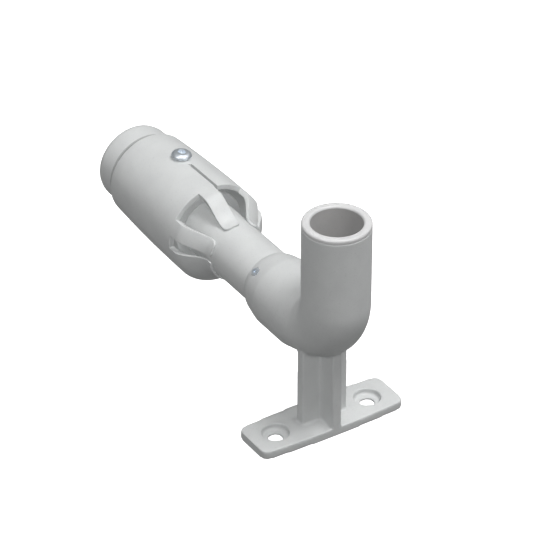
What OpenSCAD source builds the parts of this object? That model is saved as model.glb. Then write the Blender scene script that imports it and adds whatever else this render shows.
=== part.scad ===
// Fishing rod holder: a screw-down stand with an upright socket, and a swivelling rod cup on a
// horizontal arm. Origin at the centre of the foot's underside, +X along the foot, +Y along the
// arm towards the cup's mouth, +Z up. Millimetres.

/* [Foot and post] */
// Length of the foot plate
foot_l = 105; // [90:1:140]
// Width of the foot plate at its middle
foot_w = 35; // [30:0.5:45]
// How far each long side bows out
foot_bow = 2.2; // [1:0.1:4]
// Corner radius of the foot plate
foot_corner_r = 5; // [3:0.5:8]
// Thickness of the foot plate
foot_t = 6; // [5:0.5:10]
// Distance between the two screw holes
hole_spacing = 69; // [66:0.5:76]
// Diameter of the screw holes
hole_d = 9; // [5:0.5:9]
// Diameter of the counterbores round the screw holes
sink_d = 17.3; // [12:0.1:18]
// Depth of the counterbores
sink_depth = 4; // [3:0.1:4.5]
// Width of the post's long rib, along the foot
post_w = 33.2; // [28:0.1:42]
// Thickness of both post ribs
rib_t = 6.7; // [5:0.1:9]

/* [Elbow and upright socket] */
// Height of the arm's centre line
arm_h = 73.5; // [68:0.5:90]
// Height of the upright socket's mouth
rim_h = 159.4; // [140:0.1:200]
// How far the upright socket stands behind the middle of the foot
socket_back = 14.5; // [10:0.5:16]
// Outer diameter of the upright socket
socket_d = 43.4; // [42:0.1:50]
// Bore of the upright casting
socket_bore_d = 37.4; // [36.6:0.1:38]
// Centre-line radius of the elbow
bend_r = 28; // [24:0.5:30]
// Outer diameter of the elbow's arm socket
elbow_d = 48.4; // [46:0.1:52]
// Distance from the upright's centre line to where the arm socket starts to taper
elbow_end = 58; // [52:0.5:62]
// Length of the arm socket's taper
elbow_taper = 17; // [15:0.5:22]
// Wall of the arm socket at its end
elbow_lip = 1.4; // [1.2:0.1:2.5]
// Diameter of the drain hole in the upright socket's floor
drain_d = 6; // [4:0.5:8]

/* [Arm] */
// Outer diameter of the arm tube
arm_d = 38; // [36:0.1:40]
// Wall of the arm tube
arm_wall = 3; // [2.4:0.1:3.5]
// Start of the arm tube, from the upright's centre line
arm_start = 32; // [30:0.5:38]
// Diameter of the set screws that hold the arm
set_screw_d = 5; // [4:0.5:6]
// Place of the set screws along the arm
set_screw_at = 68; // [62:0.5:70]

/* [Rod cup] */
// Place of the claw tips along the arm
claw_tip = 113; // [105:0.5:120]
// Length of the claws
claw_l = 30; // [25:0.5:36]
// Width of each claw
claw_w = 11.4; // [9:0.1:14]
// Angle between neighbouring claws
claw_pitch = 60; // [50:1:64]
// Turn of the middle claw about the arm, from +X over the top
claw_turn = 98; // [95:1:105]
// Angle that the lower lip covers, opposite the middle claw
low_lip_angle = 188; // [150:1:190]
// Largest diameter of the cup
cup_d = 65.4; // [64:0.1:72]
// Wall of the cup shell
cup_wall = 3.4; // [2.8:0.1:4.2]
// Length of the cup shell, from the claws on
cup_l = 78; // [72:0.5:95]
// Diameter of the cup at its far end, to which it tapers in a long curve
cup_end_d = 60; // [58:0.1:64]
// Width of the slit in the cup's top
slit_w = 2.2; // [1.5:0.1:3]
// Length of the slit, from the claws on
slit_l = 32; // [20:0.5:36]
// Outer diameter of the rod sleeve
sleeve_d = 49; // [48:0.1:50]
// Wall of the rod sleeve
sleeve_wall = 3.1; // [2.4:0.1:3.4]
// Wall of the upright socket's liner
liner_wall = 2.3; // [1.8:0.1:3]
// Wall of the cup's liner
cup_liner_wall = 2.6; // [1.8:0.1:3]
// Gap between the cup shell and the mouth collar
collar_gap = 4.5; // [4:0.5:8]
// Length of the mouth collar
collar_l = 17.5; // [14:0.5:26]
// Outer diameter of the mouth collar
collar_d = 54; // [53:0.1:58]

/* [Lock screw] */
// Place of the lock screw, from the claws' root
screw_at = 42; // [41:0.5:52]
// Turn of the lock screw and the slit about the arm, from +X over the top
screw_turn = 85; // [80:1:92]
// Thread diameter of the lock screw
screw_d = 6; // [5:0.5:8]
// Head diameter of the lock screw
head_d = 13.5; // [12:0.5:15]
// Head height of the lock screw
head_h = 3.2; // [2.5:0.1:5]

/* [Hidden] */
// Clearance between parts that are assembled and don't move
snug = 0.05;
// Radial clearance of the swivel's running fit
running = 0.06;
// Clearance between parts that pass each other
free = 0.3;
$fn = 96;

foot_half_w = foot_w / 2;
foot_side_r = ((foot_l / 2) * (foot_l / 2) + foot_bow * foot_bow) / (2 * foot_bow);
foot_corner_x = foot_l / 2 - foot_corner_r;
foot_corner_y = sqrt(pow(foot_side_r - foot_corner_r, 2) - pow(foot_corner_x, 2)) - foot_side_r
    + foot_half_w;
hole_r = hole_d / 2;
sink_r = sink_d / 2;

socket_r = socket_d / 2;
socket_bore_r = socket_bore_d / 2;
elbow_r = elbow_d / 2;
socket_liner_r = socket_bore_r - snug - liner_wall;
lip_h = 3;                              // soft lip on top of the upright casting
lip_round = 1.4;
casting_top = rim_h - lip_h;
socket_floor = arm_h + bend_r - 8;      // floor of the upright bore
pad_t = 5;
liner_foot = socket_floor + snug + pad_t + free;

arm_r = arm_d / 2;
arm_bore_r = arm_r - arm_wall;
elbow_mouth = elbow_end + elbow_taper;
elbow_mouth_r = arm_r + snug + elbow_lip;
set_screw_r = set_screw_d / 2;
set_screw_n = 3;
set_screw_turn = 134;

claw_root = claw_tip + claw_l;
cup_r = cup_d / 2;
cup_end_r = cup_end_d / 2;
cup_inner_r = cup_r - cup_wall;
cup_end = claw_root + cup_l;
end_round = 1.6;                        // rounding of the shell's far edge
claw_tip_r = arm_r + free + 1.4;
web_t = 4;                              // inner rings of the shell that carry the sleeve
boss_r = head_d / 2 + 1.5;

sleeve_r = sleeve_d / 2;
sleeve_bore_r = sleeve_r - sleeve_wall;
sleeve_start = claw_root + 5;
sleeve_lip_t = 3;
collar_start = cup_end + collar_gap;
collar_end = collar_start + collar_l;
collar_r = collar_d / 2;
mouth_t = 3;                            // the collar's end flange over the liner
mouth_end = collar_end - mouth_t;
thread_h = 0.6;

bush_start = sleeve_start + sleeve_lip_t + snug;
bush_l = 16;
clip_start = bush_start + bush_l + free;
clip_t = 1.6;
clip_groove_r = arm_r - 1.1;
clip_r = sleeve_bore_r - free;
arm_end = clip_start + clip_t + 2.5;
plug_flange_t = 2;
cup_pad_start = arm_end + plug_flange_t + 1;
cup_pad_t = 5;
liner_start = cup_pad_start + cup_pad_t + free;
liner_r = sleeve_bore_r - snug;
rod_r = liner_r - cup_liner_wall;

screw_s = claw_root + screw_at;
head_seat = cup_radius(screw_at) + 0.8; // the flat on the boss under the screw's head
insert_r = screw_d / 2 + 1.6;
tip_r = rod_r + 0.6;                    // the pad's face at rest, clear of the rod space
screw_pad_t = 2.4;

// Places its children with their +Z along the arm, s from the upright's centre line.
module on_arm(s = 0) { translate([0, s - socket_back, arm_h]) rotate([-90, 0, 0]) children(); }

// In on_arm's frame: +X becomes the direction at this angle from +X over the top.
module at_angle(angle) { rotate([0, 0, -angle]) children(); }

// A ring along the arm from s0 to s1.
module arm_ring(s0, s1, outer, inner) {
    on_arm(s0) difference() {
        cylinder(r = outer, h = s1 - s0);
        translate([0, 0, -1]) cylinder(r = inner, h = s1 - s0 + 2);
    }
}

// A radial cylinder in the cup, along the lock screw's axis, from radius r0 to r1.
module on_screw(r0, r1, r) {
    on_arm(screw_s) at_angle(screw_turn) rotate([0, 90, 0]) translate([0, 0, r0])
        cylinder(r = r, h = r1 - r0, $fn = 48);
}

module foot_outline() {
    intersection() {
        translate([0, foot_half_w - foot_side_r]) circle(r = foot_side_r, $fn = 360);
        translate([0, foot_side_r - foot_half_w]) circle(r = foot_side_r, $fn = 360);
        square([2 * foot_corner_x, foot_w], center = true);
    }
    square([foot_l, 2 * foot_corner_y], center = true);
    for (x = [-1, 1], y = [-1, 1])
        translate([x * foot_corner_x, y * foot_corner_y]) circle(r = foot_corner_r);
}

module elbow_solid() {
    translate([0, -socket_back, arm_h + bend_r]) cylinder(r = socket_r, h = casting_top - arm_h - bend_r);
    translate([0, bend_r - socket_back, arm_h + bend_r]) rotate([90, 0, 90]) rotate([0, 0, 180])
        rotate_extrude(angle = 90) translate([bend_r, 0]) circle(r = socket_r);
    on_arm() rotate_extrude() polygon([
        [0, bend_r - 12], [socket_r - 1, bend_r - 12], [elbow_r, bend_r + 4], [elbow_r, elbow_end],
        [elbow_mouth_r + 1.2, elbow_mouth - 4], [elbow_mouth_r, elbow_mouth], [0, elbow_mouth]]);
}

module stand_casting() color("gainsboro") difference() {
    union() {
        linear_extrude(foot_t) foot_outline();
        translate([-post_w / 2, -rib_t / 2, foot_t - 1]) cube([post_w, rib_t, arm_h - foot_t]);
        translate([-rib_t / 2, -foot_half_w, foot_t - 1]) cube([rib_t, foot_w, arm_h - foot_t]);
        elbow_solid();
    }
    for (x = [-1, 1]) translate([x * hole_spacing / 2, 0, 0]) {
        translate([0, 0, -1]) cylinder(r = hole_r, h = foot_t + 2);
        translate([0, 0, foot_t - sink_depth]) cylinder(r = sink_r, h = sink_depth + 1);
    }
    translate([0, -socket_back, socket_floor]) cylinder(r = socket_bore_r, h = rim_h);
    translate([0, -socket_back, arm_h]) cylinder(r = drain_d / 2, h = bend_r, $fn = 48);
    on_arm(arm_start) cylinder(r = arm_r + snug, h = elbow_mouth);
    on_arm(0) cylinder(r = drain_d / 2, h = arm_start + 1, $fn = 48);
    for (i = [0 : set_screw_n - 1]) on_arm(set_screw_at) at_angle(set_screw_turn + i * 360 / set_screw_n)
        rotate([0, 90, 0]) translate([0, 0, arm_r - 1])
            cylinder(r = set_screw_r + snug, h = elbow_r - arm_r + 2, $fn = 32);
}

// Soft sleeve with a rounded lip that covers the casting's top edge.
module upright_liner() color("lightgray") translate([0, -socket_back, 0]) rotate_extrude() {
    translate([socket_liner_r, liner_foot]) square([liner_wall, casting_top + 2 * snug - liner_foot]);
    translate([socket_liner_r + lip_round, casting_top + snug])
        square([socket_r - socket_liner_r - 2 * lip_round, lip_h - snug]);
    translate([socket_liner_r, casting_top + snug]) square([socket_r - socket_liner_r, lip_h - lip_round - snug]);
    for (r = [socket_liner_r + lip_round, socket_r - lip_round])
        translate([r, rim_h - lip_round]) circle(r = lip_round, $fn = 48);
}

module upright_butt_pad() color("dimgray") translate([0, -socket_back, socket_floor + snug])
    difference() {
        cylinder(r = socket_bore_r - snug, h = pad_t);
        translate([0, 0, -1]) cylinder(r = drain_d / 2, h = pad_t + 2, $fn = 48);
    }

module arm_tube() color("silver") difference() {
    arm_ring(arm_start + snug, arm_end, arm_r, arm_bore_r);
    arm_ring(clip_start, clip_start + clip_t, arm_r + 1, clip_groove_r);
    for (i = [0 : set_screw_n - 1]) on_arm(set_screw_at) at_angle(set_screw_turn + i * 360 / set_screw_n)
        rotate([0, 90, 0]) translate([0, 0, arm_r - 1]) cylinder(r = set_screw_r + snug, h = 2, $fn = 32);
}

// Three headless screws with hexagon sockets, through the elbow into the arm.
module arm_set_screws() color("gray")
    for (i = [0 : set_screw_n - 1]) on_arm(set_screw_at) at_angle(set_screw_turn + i * 360 / set_screw_n)
        rotate([0, 90, 0]) difference() {
            translate([0, 0, arm_r - 1 + snug]) cylinder(r = set_screw_r, h = elbow_r - arm_r - 0.6, $fn = 32);
            translate([0, 0, elbow_r - 4]) cylinder(r = set_screw_r / 2, h = 6, $fn = 6);
        }

module arm_circlip() color("gray") difference() {
    arm_ring(clip_start + snug, clip_start + clip_t - snug, clip_r, clip_groove_r + snug);
    on_arm(clip_start - 1) at_angle(270) translate([0, -3.5, 0]) cube([clip_r + 2, 7, clip_t + 2]);
}

module arm_plug() color("dimgray") {
    on_arm(arm_end + snug) cylinder(r = arm_r - 0.5, h = plug_flange_t);
    arm_ring(arm_end - 12, arm_end + snug + 0.5, arm_bore_r - snug, arm_bore_r - 2.5);
}

module swivel_bush() color("white")
    arm_ring(bush_start, bush_start + bush_l, sleeve_bore_r - snug, arm_r + running);

module rod_sleeve() color("silver") difference() {
    on_arm() rotate_extrude() polygon([
        [arm_r + free, sleeve_start], [sleeve_r, sleeve_start],
        [sleeve_r, collar_start + 1], [sleeve_r - thread_h, collar_start + 2],
        [sleeve_r - thread_h, mouth_end - snug], [sleeve_bore_r, mouth_end - snug],
        [sleeve_bore_r, sleeve_start + sleeve_lip_t], [arm_r + free, sleeve_start + sleeve_lip_t]]);
    on_screw(sleeve_bore_r - 2, sleeve_r + 2, insert_r + snug);
}

// One side of the claws and the lower lip: straight along the arm, a wave outwards, then straight.
claw_tail = 0.12;
claw_wave = 0.68;

// Outer radius of the cup shell at a distance from the claws' root.
function cup_radius(x) = cup_r - (cup_r - cup_end_r) * pow(x / cup_l, 2);

claw_steps = 14;
cup_steps = 16;
round_steps = 5;
function claw_side(tip_r, root_r) = concat(
    [[tip_r, claw_tip]],
    [for (i = [0 : claw_steps]) let (u = i / claw_steps)
        [tip_r + (root_r - tip_r) * (1 - cos(180 * u)) / 2,
         claw_tip + claw_l * (claw_tail + claw_wave * u)]],
    [[root_r, claw_root]]);
function reversed(list) = [for (i = [len(list) - 1 : -1 : 0]) list[i]];

function cup_side(inset, length) =
    [for (i = [1 : cup_steps]) let (x = length * i / cup_steps) [cup_radius(x) - inset, claw_root + x]];
function end_edge() =
    [for (i = [1 : round_steps]) let (turn = 90 * i / round_steps)
        [cup_radius(cup_l - end_round) - end_round * (1 - cos(turn)),
         cup_end - end_round * (1 - sin(turn))]];

module cup_body() on_arm() rotate_extrude() polygon(concat(
    claw_side(claw_tip_r, cup_r), cup_side(0, cup_l - end_round), end_edge(),
    [[sleeve_r + free, cup_end], [sleeve_r + free, cup_end - web_t]],
    reversed(cup_side(cup_wall, cup_l - web_t)),
    reversed(claw_side(arm_r + free, cup_inner_r))));

module cup_shell() color("gainsboro") difference() {
    union() {
        cup_body();
        arm_ring(screw_s - boss_r, screw_s + boss_r, cup_inner_r + 1, sleeve_r + free);
        on_screw(cup_inner_r, head_seat, boss_r);
    }
    difference() {
        on_arm(claw_tip - 1) cylinder(r = cup_r + 2, h = claw_l + 1);
        for (i = [-1 : 1]) on_arm(claw_tip - 2) at_angle(claw_turn + i * claw_pitch)
            translate([1, -claw_w / 2, 0]) cube([cup_r + 5, claw_w, claw_l + 3]);
        on_arm(claw_tip - 2) at_angle(claw_turn + 180) rotate([0, 0, -low_lip_angle / 2])
            rotate_extrude(angle = low_lip_angle) square([cup_r + 5, claw_l + 3]);
    }
    on_arm(claw_root - 1) at_angle(screw_turn) translate([arm_r, -slit_w / 2, 0])
        cube([cup_r, slit_w, slit_l + 1]);
    on_screw(sleeve_r - 1, cup_r + 5, screw_d / 2 + free);
}

module cup_liner() color("dimgray") difference() {
    arm_ring(liner_start, mouth_end - snug, liner_r, rod_r);
    on_screw(rod_r - 2, liner_r + 2, screw_d / 2 + free);
}

module cup_butt_pad() color("black") on_arm(cup_pad_start) cylinder(r = liner_r, h = cup_pad_t);

module mouth_collar() color("gainsboro") on_arm() rotate_extrude() difference() {
    polygon([
        [sleeve_r + running - thread_h, collar_start + 2], [sleeve_r + running, collar_start + 1],
        [sleeve_r + running, collar_start], [collar_r - 1, collar_start], [collar_r, collar_start + 1],
        [collar_r, collar_end - 5], [collar_r - 0.8, collar_end - 2.4], [collar_r - 2.6, collar_end - 0.6],
        [collar_r - 4.6, collar_end], [rod_r + 1.5, collar_end], [rod_r + 0.5, collar_end - 1],
        [rod_r + 0.5, mouth_end + free], [sleeve_r + running - thread_h, mouth_end + free]]);
}

// Threaded insert in the sleeve's wall.
module screw_insert() color("gold") difference() {
    on_screw(sleeve_bore_r + snug, sleeve_r - 0.5, insert_r);
    on_screw(sleeve_bore_r - 2, sleeve_r + 2, screw_d / 2 + running);
}

module lock_screw() color("silver") difference() {
    union() {
        on_screw(tip_r + screw_pad_t, head_seat + 1, screw_d / 2);
        on_screw(head_seat + free, head_seat + free + head_h - 1, head_d / 2);
        on_arm(screw_s) at_angle(screw_turn) rotate([0, 90, 0])
            translate([0, 0, head_seat + free + head_h - 1])
                cylinder(r1 = head_d / 2, r2 = head_d / 2 - 1.2, h = 1);
    }
    on_arm(screw_s) at_angle(screw_turn) rotate([0, 90, 0]) translate([0, 0, head_seat + 0.8])
        cylinder(r = screw_d * 0.42, h = head_h + 2, $fn = 6);
}

module screw_pad() color("white") on_screw(tip_r, tip_r + screw_pad_t - snug, screw_d / 2);

stand_casting();
upright_liner();
upright_butt_pad();
arm_tube();
arm_set_screws();
arm_circlip();
arm_plug();
swivel_bush();
rod_sleeve();
cup_shell();
cup_liner();
cup_butt_pad();
mouth_collar();
screw_insert();
lock_screw();
screw_pad();
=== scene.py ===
import math

import bmesh
import bpy
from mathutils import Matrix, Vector


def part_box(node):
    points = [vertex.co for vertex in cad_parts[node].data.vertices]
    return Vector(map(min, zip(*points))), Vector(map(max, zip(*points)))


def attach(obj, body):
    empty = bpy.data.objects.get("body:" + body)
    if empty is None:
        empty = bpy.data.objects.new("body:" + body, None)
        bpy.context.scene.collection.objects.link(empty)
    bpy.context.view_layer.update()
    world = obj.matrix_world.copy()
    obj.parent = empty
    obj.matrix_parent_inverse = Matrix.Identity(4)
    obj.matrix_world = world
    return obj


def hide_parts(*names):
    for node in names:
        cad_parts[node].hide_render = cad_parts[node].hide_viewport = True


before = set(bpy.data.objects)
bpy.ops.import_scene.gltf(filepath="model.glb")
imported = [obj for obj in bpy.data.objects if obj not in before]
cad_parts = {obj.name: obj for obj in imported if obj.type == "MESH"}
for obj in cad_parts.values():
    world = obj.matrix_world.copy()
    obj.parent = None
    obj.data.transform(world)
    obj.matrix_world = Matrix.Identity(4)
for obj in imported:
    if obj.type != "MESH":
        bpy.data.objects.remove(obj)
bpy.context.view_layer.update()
MM = 0.001

# ---------------------------------------------------------------- sizes, from the frame


def span(node, axis):
    low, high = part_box(node)
    return low[axis], high[axis]


def middle(node, axis):
    low, high = span(node, axis)
    return (low + high) / 2


def half_length(node, axis):
    low, high = span(node, axis)
    return (high - low) / 2


def half_width(node):
    return half_length(node, 0)


UP_Y = middle("upright_liner", 1)        # the upright socket's centre line
ARM_Z = middle("arm_tube", 2)            # the arm's centre line
RIM_Z = span("upright_liner", 2)[1]
SOCKET_R = half_width("upright_liner")
ARM_R = half_width("arm_tube")
CLAW_TIP, CUP_END = span("cup_shell", 1)
CUP_R = half_width("cup_shell")
COLLAR_START, COLLAR_END = span("mouth_collar", 1)
COLLAR_R = half_width("mouth_collar")
SLEEVE_START, SLEEVE_END = span("rod_sleeve", 1)
SLEEVE_R = half_width("rod_sleeve")
LINER_R = half_width("cup_liner")
SCREW_Y = middle("lock_screw", 1)

# Sizes that no box gives.
ELBOW_MOUTH = 60.5 * MM                   # where the casting's elbow ends, along the arm
ELBOW_FADE = 9 * MM                       # length over which the elbow's end is softened
ELBOW_PULL = 0.9 * MM                     # how far its end is drawn in
CAST_VOXEL = 0.75 * MM
ARM_WALL = 3 * MM
CLIP_GROOVE_T = 1.6 * MM
CLIP_GROOVE_DEPTH = 1.1 * MM
UPRIGHT_WALL = 5.35 * MM                  # casting and liner together, at the socket's rim
LIP_H = 3 * MM                            # the liner's lip above the casting
THREAD_DEPTH = 0.6 * MM
GROOVE_SHADE_BAND = 4.5 * MM                      # the collar's band of painted groove shade beside the cup
CLAW_L = 30 * MM
CLAW_TAIL = 0.12                          # the part of a claw that lies straight on the arm
CLAW_WAVE = 0.68                          # the part that waves out to the cup
CLAW_PITCH = 60                           # degrees
CLAW_TURN = 98                            # the middle claw: degrees from +X over the top
CLAW_W = 11.4 * MM
CLAW_TIP_T = 1.4 * MM
CLAW_ROUND = 3.2 * MM                     # rounding of the claw tips' corners
LOW_LIP = 188                             # degrees, opposite the middle claw
SHELL_T = 3.4 * MM
CUP_END_R = 30 * MM
SLIT_W = 2.2 * MM
SLIT_L = 32 * MM
SCREW_TURN = 85
SCREW_SHANK = 11.2 * MM
LINER_T = 2.3 * MM
SLEEVE_T = 3.1 * MM
RUN = 0.3 * MM                            # gap between pieces that pass each other
JOIN = 1e-6                               # closer than this, two rows or columns are one

# ---------------------------------------------------------------- mesh helpers


def finish_mesh(name, mesh_builder, material, body, sharp=40):
    """Turns a bmesh into a named piece that rides on a body, with edges sharper than `sharp` kept crisp."""
    bmesh.ops.remove_doubles(mesh_builder, verts=mesh_builder.verts, dist=0.004 * MM)
    bmesh.ops.recalc_face_normals(mesh_builder, faces=mesh_builder.faces)
    for face in mesh_builder.faces:
        face.smooth = True
    limit = math.radians(sharp)
    for edge in mesh_builder.edges:
        edge.smooth = len(edge.link_faces) == 2 and edge.calc_face_angle(0) < limit
    mesh = bpy.data.meshes.new(name)
    mesh_builder.to_mesh(mesh)
    mesh_builder.free()
    piece = bpy.data.objects.new(name, mesh)
    bpy.context.scene.collection.objects.link(piece)
    mesh.materials.append(material)
    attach(piece, body)
    return piece


def rounded(points, steps=6):
    """A closed outline of (radius, place, fillet) corners, with each corner's fillet as an arc."""
    out = []
    count = len(points)
    for i, (x, y, fillet) in enumerate(points):
        corner = Vector((x, y))
        back = Vector(points[i - 1][:2]) - corner
        ahead = Vector(points[(i + 1) % count][:2]) - corner
        if fillet <= 0 or back.length < 1e-9 or ahead.length < 1e-9:
            out.append((x, y))
            continue
        half = back.angle(ahead) / 2
        cut = min(fillet / math.tan(half), 0.49 * back.length, 0.49 * ahead.length)
        radius = cut * math.tan(half)
        back.normalize()
        ahead.normalize()
        centre = corner + (back + ahead).normalized() * (radius / math.sin(half))
        start = corner + back * cut - centre
        end = corner + ahead * cut - centre
        for k in range(steps + 1):
            spoke = start.lerp(end, k / steps).normalized() * radius
            out.append(tuple(centre + spoke))
    return out


def second_finish(piece, material, chosen):
    """Gives the faces whose middle passes the test a second material."""
    piece.data.materials.append(material)
    for polygon in piece.data.polygons:
        if chosen(polygon.center):
            polygon.material_index = 1


def on_arm(radius, degrees, y):
    """A point at a radius and turn about the arm's centre line."""
    turn = math.radians(degrees)
    return (radius * math.cos(turn), y, ARM_Z + radius * math.sin(turn))


def on_upright(radius, degrees, z):
    """A point at a radius and turn about the upright socket's centre line."""
    turn = math.radians(degrees)
    return (radius * math.cos(turn), UP_Y + radius * math.sin(turn), z)


def lathe(outline, place, segments=144):
    """A closed outline of (radius, along) points turned about the arm or the upright."""
    builder = bmesh.new()
    rings = []
    for k in range(segments):
        degrees = 360 * k / segments
        rings.append([builder.verts.new(place(radius, degrees, along)) for radius, along in outline])
    count = len(outline)
    for k in range(segments):
        here, there = rings[k], rings[(k + 1) % segments]
        for i in range(count):
            j = (i + 1) % count
            builder.faces.new((here[i], here[j], there[j], there[i]))
    return builder


def modify(piece, kind, **settings):
    """Adds one modifier and applies it."""
    modifier = piece.modifiers.new(kind.lower(), kind)
    for key, value in settings.items():
        setattr(modifier, key, value)
    bpy.context.view_layer.update()
    graph = bpy.context.evaluated_depsgraph_get()
    mesh = bpy.data.meshes.new_from_object(piece.evaluated_get(graph))
    piece.modifiers.clear()
    old = piece.data
    piece.data = mesh
    bpy.data.meshes.remove(old)


# ---------------------------------------------------------------- materials


class Nodes:
    """A short way to write a node material: every call adds a node and returns it."""

    def __init__(self, name):
        self.material = bpy.data.materials.new(name)
        self.material.use_nodes = True
        self.tree = self.material.node_tree
        self.shader = self.tree.nodes["Principled BSDF"]
        self.coords = self.tree.nodes.new("ShaderNodeTexCoord").outputs["Object"]

    def noise(self, scale, detail=4, roughness=0.55, stretch=None):
        node = self.tree.nodes.new("ShaderNodeTexNoise")
        node.inputs["Scale"].default_value = scale
        node.inputs["Detail"].default_value = detail
        node.inputs["Roughness"].default_value = roughness
        source = self.coords
        if stretch:
            mapping = self.tree.nodes.new("ShaderNodeMapping")
            mapping.inputs["Scale"].default_value = stretch
            self.tree.links.new(source, mapping.inputs["Vector"])
            source = mapping.outputs["Vector"]
        self.tree.links.new(source, node.inputs["Vector"])
        return node.outputs["Fac"]

    def ramp(self, factor, stops):
        node = self.tree.nodes.new("ShaderNodeValToRGB")
        elements = node.color_ramp.elements
        while len(elements) < len(stops):
            elements.new(0.5)
        for element, (place, value) in zip(elements, stops):
            element.position = place
            colour = value if isinstance(value, tuple) else (value, value, value)
            element.color = (*colour, 1)
        self.tree.links.new(factor, node.inputs["Fac"])
        return node.outputs["Color"]

    def mix(self, factor, first, second, kind="MIX"):
        node = self.tree.nodes.new("ShaderNodeMix")
        node.data_type = "RGBA"
        node.blend_type = kind
        if isinstance(factor, float):
            node.inputs["Factor"].default_value = factor
        else:
            self.tree.links.new(factor, node.inputs["Factor"])
        for socket, value in ((node.inputs["A"], first), (node.inputs["B"], second)):
            if isinstance(value, tuple):
                socket.default_value = (*value, 1)
            else:
                self.tree.links.new(value, socket)
        return node.outputs["Result"]

    def colour(self, value):
        self.tree.links.new(value, self.shader.inputs["Base Color"])

    def roughness(self, value):
        self.tree.links.new(value, self.shader.inputs["Roughness"])

    def bump(self, layers):
        """layers are (height, depth in metres) pairs, chained from the coarsest to the finest."""
        normal = None
        for height, depth in layers:
            node = self.tree.nodes.new("ShaderNodeBump")
            node.inputs["Strength"].default_value = 1.0
            node.inputs["Distance"].default_value = depth
            self.tree.links.new(height, node.inputs["Height"])
            if normal is not None:
                self.tree.links.new(normal, node.inputs["Normal"])
            normal = node.outputs["Normal"]
        self.tree.links.new(normal, self.shader.inputs["Normal"])

    def set(self, **values):
        for key, value in values.items():
            self.shader.inputs[key.replace("_", " ")].default_value = value


def grey_finish(name, tone, tint, rough, grain_depth, grain_scale):
    """Satin light grey, cast or moulded: mottled tone, faint stains, fine grain and long soft waves."""
    n = Nodes(name)
    r, g, b = (tone * t for t in tint)
    cloud = n.ramp(n.noise(55, 5), [(0.32, (r * 0.94, g * 0.94, b * 0.945)), (0.68, (r, g, b))])
    speck = n.ramp(n.noise(900, 3, 0.7), [(0.30, 0.90), (0.42, 1.0)])
    stain = n.ramp(n.noise(16, 6, 0.65), [(0.36, 0.955), (0.56, 1.0)])
    n.colour(n.mix(1.0, n.mix(1.0, cloud, speck, "MULTIPLY"), stain, "MULTIPLY"))
    n.roughness(n.ramp(n.noise(120, 4), [(0.3, rough - 0.06), (0.7, rough + 0.07)]))
    n.bump([(n.noise(70, 2), 0.10 * MM), (n.noise(grain_scale, 5, 0.6), grain_depth)])
    n.set(Specular_IOR_Level=0.35)
    return n.material


def steel_finish(name):
    n = Nodes(name)
    n.colour(n.ramp(n.noise(400, 3), [(0.3, (0.72, 0.77, 0.82)), (0.7, (0.82, 0.87, 0.92))]))
    n.roughness(n.ramp(n.noise(700, 4, 0.6, (1, 6, 1)), [(0.3, 0.42), (0.7, 0.55)]))
    n.bump([(n.noise(1500, 3, 0.6, (1, 8, 1)), 0.01 * MM)])
    n.set(Metallic=1.0)
    return n.material


def rubber_finish(name):
    n = Nodes(name)
    n.colour(n.ramp(n.noise(90, 5), [(0.3, 0.035), (0.7, 0.065)]))
    n.roughness(n.ramp(n.noise(200, 4), [(0.3, 0.62), (0.7, 0.78)]))
    n.bump([(n.noise(1200, 4, 0.6), 0.04 * MM)])
    return n.material


def nylon_finish(name):
    n = Nodes(name)
    n.colour(n.ramp(n.noise(70, 4), [(0.3, (0.62, 0.62, 0.58)), (0.7, (0.70, 0.70, 0.67))]))
    n.roughness(n.ramp(n.noise(160, 4), [(0.3, 0.38), (0.7, 0.5)]))
    n.bump([(n.noise(800, 3), 0.02 * MM)])
    n.set(Subsurface_Weight=0.08)
    return n.material


def brass_finish(name):
    n = Nodes(name)
    n.colour(n.ramp(n.noise(300, 4), [(0.3, (0.60, 0.44, 0.17)), (0.7, (0.74, 0.56, 0.26))]))
    n.roughness(n.ramp(n.noise(500, 4), [(0.3, 0.28), (0.7, 0.42)]))
    n.bump([(n.noise(1100, 3), 0.01 * MM)])
    n.set(Metallic=1.0)
    return n.material


COOL = (0.985, 1.005, 1.0)
CAST = grey_finish("cast_paint", 0.58, COOL, 0.52, 0.035 * MM, 1400)
PIPE = grey_finish("arm_paint", 0.60, COOL, 0.50, 0.02 * MM, 1700)
MOULDED = grey_finish("cup_plastic", 0.60, COOL, 0.50, 0.03 * MM, 1500)
VINYL = grey_finish("liner_vinyl", 0.60, (1.0, 1.0, 1.0), 0.36, 0.015 * MM, 1200)
# painted shade: a darker copy of the liner vinyl, used for the shade inside the socket's bore
BORE_SHADE_VINYL = grey_finish("bore_painted_shade_vinyl", 0.42, (1.01, 1.0, 0.99), 0.45, 0.015 * MM, 1200)
# painted shade: a darker grey for the shade in the groove between the cup and its collar
GROOVE_SHADE_PAINT = grey_finish("cup_groove_painted_shade", 0.36, COOL, 0.55, 0.03 * MM, 1500)
STEEL = steel_finish("stainless")
RUBBER = rubber_finish("rubber")
NYLON = nylon_finish("nylon")
BRASS = brass_finish("brass")

# ---------------------------------------------------------------- pieces


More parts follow.
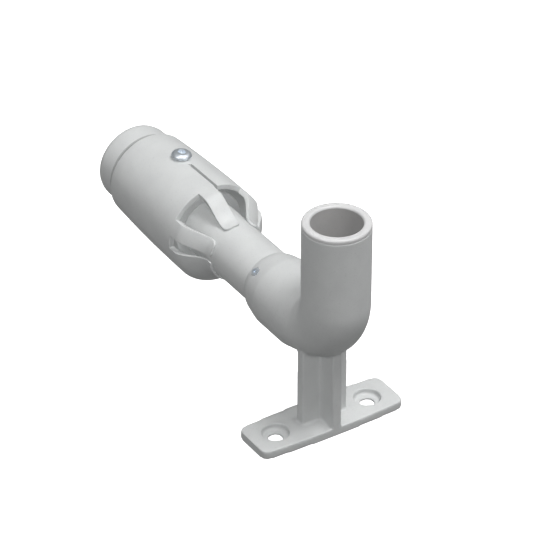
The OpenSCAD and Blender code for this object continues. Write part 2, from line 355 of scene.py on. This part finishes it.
def stand_body():
    """The casting: the CAD shape with its corners and joins softened, as sand-cast metal has them."""
    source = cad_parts["stand_casting"]
    piece = bpy.data.objects.new("stand_body", source.data.copy())
    bpy.context.scene.collection.objects.link(piece)
    piece.data.materials.clear()
    piece.data.materials.append(CAST)
    modify(piece, "REMESH", mode="VOXEL", voxel_size=CAST_VOXEL, adaptivity=0.0)
    soft = piece.vertex_groups.new(name="soft")
    for vertex in piece.data.vertices:
        x, y, z = vertex.co
        in_bore = math.hypot(x, y - UP_Y) < SOCKET_R - 1.5 * MM and z > ARM_Z + 20 * MM
        near_rim = z > RIM_Z - 8 * MM
        elbow = ARM_Z - 30 * MM < z < ARM_Z + 34 * MM and not in_bore
        weight = 0.0 if in_bore or near_rim else (1.0 if elbow else 0.45)    # the bore and rim stay true
        soft.add([vertex.index], weight, "REPLACE")
        around = math.hypot(x, z - ARM_Z)
        along = (y - ELBOW_MOUTH + ELBOW_FADE) / ELBOW_FADE
        if along > 0 and around > ARM_R + 0.4 * MM and z > ARM_Z - 40 * MM:
            pull = 1 - (ELBOW_PULL / around) * min(along, 1) ** 2
            vertex.co = (x * pull, y, ARM_Z + (z - ARM_Z) * pull)
    modify(piece, "SMOOTH", factor=0.5, iterations=14, vertex_group="soft")
    for polygon in piece.data.polygons:
        polygon.use_smooth = True
    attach(piece, "stand")
    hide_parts("stand_casting")


def upright_liner_sleeve():
    low = span("upright_liner", 2)[0]
    inner = SOCKET_R - UPRIGHT_WALL
    wall = inner + LINER_T
    lip = RIM_Z - LIP_H
    outline = rounded([
        (inner, low, 0), (wall, low, 0.3 * MM), (wall, lip, 0), (SOCKET_R, lip, 0.35 * MM),
        (SOCKET_R, RIM_Z, 1.9 * MM), (inner, RIM_Z, 1.5 * MM)])
    piece = finish_mesh("liner_sleeve", lathe(outline, on_upright), VINYL, "stand")
    # The bore below the lip gets painted shade: the darker vinyl copy stands in for the shade inside the
    # socket.
    second_finish(piece, BORE_SHADE_VINYL, lambda point: point.z < RIM_Z - 1.5 * MM
                  and math.hypot(point.x, point.y - UP_Y) < inner + 0.4 * MM)
    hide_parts("upright_liner")


def arm_pipe():
    low, high = span("arm_tube", 1)
    inner = ARM_R - ARM_WALL
    groove = high - 4.1 * MM
    groove_end = groove + CLIP_GROOVE_T
    groove_r = ARM_R - CLIP_GROOVE_DEPTH
    outline = rounded([
        (inner, low, 0.4 * MM), (ARM_R, low, 0.5 * MM), (ARM_R, groove, 0), (groove_r, groove, 0),
        (groove_r, groove_end, 0), (ARM_R, groove_end, 0), (ARM_R, high, 0.4 * MM),
        (inner, high, 0.4 * MM)])
    piece = finish_mesh("arm_pipe", lathe(outline, on_arm), PIPE, "stand")
    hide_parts("arm_tube")


def sleeve_pipe():
    bore = SLEEVE_R - SLEEVE_T
    thread = SLEEVE_R - THREAD_DEPTH
    lip = SLEEVE_START + 3 * MM
    outline = rounded([
        (ARM_R + RUN, SLEEVE_START, 0.4 * MM), (SLEEVE_R, SLEEVE_START, 0.8 * MM),
        (SLEEVE_R, COLLAR_START + 1 * MM, 0), (thread, COLLAR_START + 2 * MM, 0),
        (thread, SLEEVE_END, 0.3 * MM), (bore, SLEEVE_END, 0.3 * MM), (bore, lip, 0),
        (ARM_R + RUN, lip, 0)])
    piece = finish_mesh("sleeve_pipe", lathe(outline, on_arm), PIPE, "cup")
    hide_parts("rod_sleeve")


def collar_ring():
    inner = SLEEVE_R + 0.06 * MM
    thread = inner - THREAD_DEPTH
    flange = COLLAR_END - 2.7 * MM
    mouth = LINER_R - LINER_T + 0.5 * MM
    outline = rounded([
        (inner, COLLAR_START, 0.4 * MM), (COLLAR_R, COLLAR_START, 0.9 * MM),
        (COLLAR_R, COLLAR_END - 4 * MM, 6 * MM), (COLLAR_R - 1.2 * MM, COLLAR_END, 3.2 * MM),
        (mouth, COLLAR_END, 1.6 * MM), (mouth, flange, 0.3 * MM), (thread, flange, 0),
        (thread, COLLAR_START + 2 * MM, 0), (inner, COLLAR_START + 1 * MM, 0)])
    piece = finish_mesh("collar_ring", lathe(outline, on_arm), MOULDED, "collar")
    # The collar's first few millimetres beside the cup are painted darker, as painted shade in the groove.
    second_finish(piece, GROOVE_SHADE_PAINT, lambda point: point.y < COLLAR_START + GROOVE_SHADE_BAND)
    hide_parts("mouth_collar")


def claw_curve(y, tip, root):
    """A claw's radius: straight on the arm at its tip, then a wave out to the cup."""
    u = min(1, max(0, (y - CLAW_TIP) / CLAW_L - CLAW_TAIL) / CLAW_WAVE)
    return tip + (root - tip) * (1 - math.cos(math.pi * u)) / 2


def cup_radius(y):
    """Outer radius of the cup shell."""
    root = CLAW_TIP + CLAW_L
    if y >= root:
        return CUP_R - (CUP_R - CUP_END_R) * ((y - root) / (CUP_END - root)) ** 2
    return claw_curve(y, ARM_R + RUN + CLAW_TIP_T, CUP_R)


def cup_inner(y):
    """Inner radius of the cup shell."""
    if y >= CLAW_TIP + CLAW_L:
        return cup_radius(y) - SHELL_T
    return claw_curve(y, ARM_R + RUN, CUP_R - SHELL_T)


def spread(low, high, count):
    """Evenly spaced values from low up to, but without, high."""
    return [low + (high - low) * i / count for i in range(count)]


def shell_columns():
    """Columns round the shell: (degrees at the claws' root, kind of the cell that starts here, claw, place)."""
    root_half = math.degrees(math.asin(CLAW_W / 2 / CUP_R))
    slit_half = math.degrees(SLIT_W / 2 / CUP_R)
    lip_start = CLAW_TURN + 180 - LOW_LIP / 2
    lip_end = lip_start + LOW_LIP
    columns = []

    def run(low, high, kind, count):
        columns.extend((degrees, kind, None, 0) for degrees in spread(low, high, count))

    def claw(centre):
        for i in range(13):
            part = -1 + i / 6
            degrees = centre + math.degrees(math.asin(part * CLAW_W / 2 / CUP_R))
            columns.append((degrees, "claw" if i < 12 else "gap", centre, part))

    first, middle_claw, last = CLAW_TURN - CLAW_PITCH, CLAW_TURN, CLAW_TURN + CLAW_PITCH
    claw(first)
    run(first + root_half, SCREW_TURN - slit_half, "gap", 20)
    run(SCREW_TURN - slit_half, SCREW_TURN + slit_half, "slit", 2)
    run(SCREW_TURN + slit_half, middle_claw - root_half, "gap", 2)
    claw(middle_claw)
    run(middle_claw + root_half, last - root_half, "gap", 24)
    claw(last)
    run(last + root_half, lip_start, "gap", 10)
    run(lip_start, lip_end, "claw", 120)
    run(lip_end, first + 360 - root_half, "gap", 10)
    distinct = []
    for column in columns:                # a run starts where a claw's last column stands
        if distinct and abs(distinct[-1][0] - column[0]) < JOIN:
            continue
        distinct.append(column)
    return distinct


def claw_half(y):
    """Half of a claw's width, with the tip's corners rounded."""
    into = y - CLAW_TIP
    if into >= CLAW_ROUND:
        return CLAW_W / 2
    return CLAW_W / 2 - CLAW_ROUND + math.sqrt(CLAW_ROUND ** 2 - (CLAW_ROUND - into) ** 2)


def shell_body():
    """The cup's shell: a barrel with three spring claws and a lower lip, and a slit along its top."""
    root = CLAW_TIP + CLAW_L
    columns = shell_columns()
    rows = [CLAW_TIP + CLAW_ROUND * (1 - math.cos(math.pi / 2 * i / 6)) for i in range(6)]
    rows += spread(CLAW_TIP + CLAW_ROUND, root, 26) + spread(root, root + SLIT_L, 14)
    rows += spread(root + SLIT_L, CUP_END, 18) + [CUP_END]
    builder = bmesh.new()
    grid = []
    for degrees, _, centre, part in columns:
        line = []
        for y in rows:
            outer = inner = degrees
            if centre is not None and y < root - JOIN:
                side = part * claw_half(y)
                outer = centre + math.degrees(math.asin(side / cup_radius(y)))
                inner = centre + math.degrees(math.asin(side / cup_inner(y)))
            line.append((builder.verts.new(on_arm(cup_radius(y), outer, y)),
                         builder.verts.new(on_arm(cup_inner(y), inner, y))))
        grid.append(line)
    count = len(columns)

    def kept(i, j):                       # whether the cell right of column i and above row j is solid
        if not 0 <= j < len(rows) - 1:
            return False
        kind = columns[i % count][1]
        if rows[j] < root - JOIN:
            return kind == "claw"
        return kind != "slit" or rows[j] >= root + SLIT_L - JOIN

    for i in range(count):
        for j in range(len(rows) - 1):
            if not kept(i, j):
                continue
            a, b = grid[i], grid[(i + 1) % count]
            builder.faces.new((a[j][0], b[j][0], b[j + 1][0], a[j + 1][0]))
            builder.faces.new((a[j][1], a[j + 1][1], b[j + 1][1], b[j][1]))
            if not kept(i, j - 1):
                builder.faces.new((a[j][0], a[j][1], b[j][1], b[j][0]))
            if not kept(i, j + 1):
                builder.faces.new((a[j + 1][0], b[j + 1][0], b[j + 1][1], a[j + 1][1]))
            if not kept(i - 1, j):
                builder.faces.new((a[j][0], a[j + 1][0], a[j + 1][1], a[j][1]))
            if not kept(i + 1, j):
                builder.faces.new((b[j][0], b[j][1], b[j + 1][1], b[j + 1][0]))
    loose = [v for v in builder.verts if not v.link_faces]
    bmesh.ops.delete(builder, geom=loose, context="VERTS")
    piece = finish_mesh("shell_body", builder, MOULDED, "cup", sharp=180)
    modify(piece, "BEVEL", width=0.6 * MM, segments=3, limit_method="ANGLE", angle_limit=math.radians(50))
    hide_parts("cup_shell")


def screw_point(radius, degrees, height):
    """A point of the lock screw: radius and turn about its own axis, height from the arm's axis."""
    lean = math.radians(SCREW_TURN)
    out = Vector((math.cos(lean), 0, math.sin(lean)))
    side = Vector((0, 1, 0))
    cross = out.cross(side)
    turn = math.radians(degrees)
    spoke = side * math.cos(turn) + cross * math.sin(turn)
    return Vector((0, SCREW_Y, ARM_Z)) + out * height + spoke * radius


def button_screw():
    """The lock screw: threaded shank, domed head and a hexagon socket."""
    head_r = half_length("lock_screw", 1)
    z_high = span("lock_screw", 2)[1]
    lean = math.radians(SCREW_TURN)
    top = (z_high - ARM_Z - (head_r - 1.2 * MM) * math.cos(lean)) / math.sin(lean) - 0.02 * MM
    seat = top - 3.2 * MM
    tip = seat - SCREW_SHANK
    hexagon = 2.35 * MM
    shank = 3 * MM
    pitch = 1.0 * MM
    outline = [(0.0, tip), (shank - 0.6 * MM, tip), (shank - 0.1 * MM, tip + 0.6 * MM)]
    z = tip + 1.0 * MM
    while z < seat - 1.2 * MM:
        outline += [(shank - 0.02 * MM, z), (shank - 0.02 * MM, z + 0.15 * MM),
                    (shank - 0.5 * MM, z + pitch / 2), (shank - 0.5 * MM, z + pitch / 2 + 0.1 * MM)]
        z += pitch
    outline += [(shank - 0.1 * MM, seat), (head_r - 0.4 * MM, seat), (head_r - 0.05 * MM, seat + 0.35 * MM),
                (head_r - 0.1 * MM, seat + 0.9 * MM)]
    for i in range(1, 9):
        turn = math.pi / 2 * i / 9
        outline.append((3.2 * MM + (head_r - 3.4 * MM) * math.cos(turn),
                        seat + 0.9 * MM + 2.2 * MM * math.sin(turn)))
    outline.append((2.95 * MM, top - 0.06 * MM))
    builder = bmesh.new()
    segments = 96
    rings = []
    for radius, height in outline:
        rings.append([builder.verts.new(screw_point(max(radius, 0.02 * MM), 360 * k / segments, height))
                      for k in range(segments)])
    for radius, height in ((hexagon, top - 0.2 * MM), (hexagon, top - 2.0 * MM), (0.0, top - 2.3 * MM)):
        ring = []
        for k in range(segments):
            degrees = 360 * k / segments
            hex_r = radius / math.cos(math.radians((degrees % 60) - 30))
            ring.append(builder.verts.new(screw_point(max(hex_r, 0.02 * MM), degrees, height)))
        rings.append(ring)
    for low, high in zip(rings, rings[1:]):
        for k in range(segments):
            j = (k + 1) % segments
            builder.faces.new((low[k], low[j], high[j], high[k]))
    builder.faces.new(rings[0])
    builder.faces.new(list(reversed(rings[-1])))
    piece = finish_mesh("button_screw", builder, STEEL, "lock_screw", sharp=32)
    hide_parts("lock_screw")


def cad_finishes():
    """The inner pieces keep their CAD shape and get their material."""
    looks = {
        "upright_butt_pad": RUBBER, "arm_set_screws": STEEL, "arm_circlip": STEEL, "arm_plug": NYLON,
        "swivel_bush": NYLON, "cup_liner": VINYL, "cup_butt_pad": RUBBER, "screw_insert": BRASS,
        "screw_pad": NYLON}
    for node, material in looks.items():
        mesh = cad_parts[node].data
        mesh.materials.clear()
        mesh.materials.append(material)


# ---------------------------------------------------------------- camera, floor and lights

# The camera: degrees about the vertical, degrees of height, and metres, from the point it looks at.
VIEW_TURN = -32.7
VIEW_RISE = 34.2
VIEW_DISTANCE = 2.3
VIEW_AIM = Vector((0.0017, 0.0628, 0.0791))
LENS = 243.3


def add_camera():
    turn, rise = math.radians(VIEW_TURN), math.radians(VIEW_RISE)
    towards = Vector((math.sin(turn) * math.cos(rise), -math.cos(turn) * math.cos(rise), math.sin(rise)))
    data = bpy.data.cameras.new("camera")
    data.lens = LENS
    data.clip_end = 20
    camera = bpy.data.objects.new("camera", data)
    camera.location = VIEW_AIM + towards * VIEW_DISTANCE
    camera.rotation_euler = (-towards).to_track_quat("-Z", "Y").to_euler()
    bpy.context.scene.collection.objects.link(camera)
    bpy.context.scene.camera = camera


def add_light(name, energy, size, place, shadow):
    data = bpy.data.lights.new(name, "AREA")
    data.use_shadow = shadow
    data.energy = energy
    data.size = size
    light = bpy.data.objects.new(name, data)
    light.location = place
    light.rotation_euler = (VIEW_AIM - Vector(place)).to_track_quat("-Z", "Y").to_euler()
    bpy.context.scene.collection.objects.link(light)


def add_stage():
    """A white studio: a plain pale floor, a low fill all round, a key light from above and three soft fills."""
    bpy.context.scene.view_settings.view_transform = "Standard"
    world = bpy.data.worlds.new("studio")
    world.use_nodes = True
    background = world.node_tree.nodes["Background"]
    background.inputs["Color"].default_value = (1, 1, 1, 1)
    background.inputs["Strength"].default_value = 0.22
    bpy.context.scene.world = world
    bpy.ops.mesh.primitive_plane_add(size=14, location=(0, 0, 0))
    floor = bpy.context.object
    floor.name = "floor"
    n = Nodes("floor")
    n.colour(n.ramp(n.noise(3), [(0.3, 0.60), (0.7, 0.62)]))
    n.shader.inputs["Emission Color"].default_value = (1, 1, 1, 1)
    n.shader.inputs["Emission Strength"].default_value = 0.92
    n.set(Roughness=0.9)
    floor.data.materials.append(n.material)
    floor.visible_diffuse = False
    floor.visible_glossy = False
    add_light("key", 30, 0.8, (0.42, -0.5, 2.2), True)
    add_light("key_fill", 15, 1.2, (0.35, -0.5, 2.2), False)
    add_light("front_fill", 9, 0.9, (0.7, -2.1, 0.9), False)
    add_light("left_fill", 18, 0.8, (-1.75, -0.35, 1.75), False)


add_camera()
add_stage()
stand_body()
upright_liner_sleeve()
arm_pipe()
sleeve_pipe()
collar_ring()
shell_body()
button_screw()
cad_finishes()
